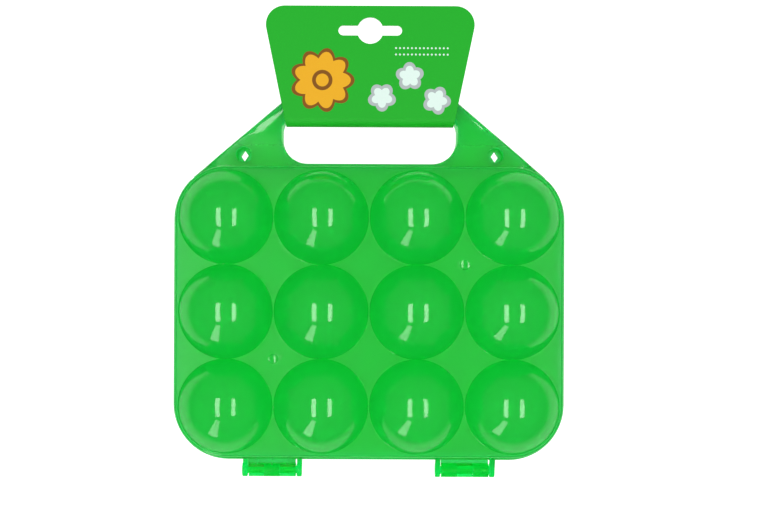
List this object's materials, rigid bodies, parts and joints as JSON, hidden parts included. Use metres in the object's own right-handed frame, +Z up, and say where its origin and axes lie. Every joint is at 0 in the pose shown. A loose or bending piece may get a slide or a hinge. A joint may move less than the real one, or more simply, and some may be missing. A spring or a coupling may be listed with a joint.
{
  "type": "egg holder",
  "caption": "Hinged translucent plastic carrier with rows of domed egg cups in both halves, a carrying grip, a snap latch and a folded hanging card.",
  "frame": {"origin": "centre of the bounding box, on the plane that the tips of the base cups rest on", "axes": "+Z up through the closed lid, +Y from the hinge to the grip, +X along the hinge"},
  "size_m": [0.1984, 0.2378, 0.065],
  "materials": {
    "green_plastic": "translucent moulded plastic, smooth gloss",
    "card": "coated printed card, satin"
  },
  "bodies": {
    "base": {"base_deck": "green_plastic", "base_skirt": "green_plastic", "base_handle": "green_plastic", "base_latch_stud": "green_plastic", "base_hinge_ear_outer": "green_plastic", "base_hinge_ear_inner": "green_plastic", "base_hinge_pin": "green_plastic", "base_hinge_claws": "green_plastic", "base_cup_r1_c1": "green_plastic", "base_cup_r1_c2": "green_plastic", "base_cup_r1_c3": "green_plastic", "base_cup_r1_c4": "green_plastic", "base_cup_r2_c1": "green_plastic", "base_cup_r2_c2": "green_plastic", "base_cup_r2_c3": "green_plastic", "base_cup_r2_c4": "green_plastic", "base_cup_r3_c1": "green_plastic", "base_cup_r3_c2": "green_plastic", "base_cup_r3_c3": "green_plastic", "base_cup_r3_c4": "green_plastic"},
    "lid": {"lid_deck": "green_plastic", "lid_skirt": "green_plastic", "lid_handle": "green_plastic", "lid_latch_stud": "green_plastic", "lid_hinge_ear_outer": "green_plastic", "lid_hinge_ear_inner": "green_plastic", "lid_hinge_pin": "green_plastic", "lid_hinge_claws": "green_plastic", "lid_cup_r1_c1": "green_plastic", "lid_cup_r1_c2": "green_plastic", "lid_cup_r1_c3": "green_plastic", "lid_cup_r1_c4": "green_plastic", "lid_cup_r2_c1": "green_plastic", "lid_cup_r2_c2": "green_plastic", "lid_cup_r2_c3": "green_plastic", "lid_cup_r2_c4": "green_plastic", "lid_cup_r3_c1": "green_plastic", "lid_cup_r3_c2": "green_plastic", "lid_cup_r3_c3": "green_plastic", "lid_cup_r3_c4": "green_plastic", "hang_card": "card"}
  },
  "joints": [
    {"name": "lid_hinge", "type": "hinge", "parent": "base", "child": "lid", "pos_m": [0, -0.11538, 0.0325], "axis": [1, 0, 0], "range_deg": [0, 180]}
  ]
}
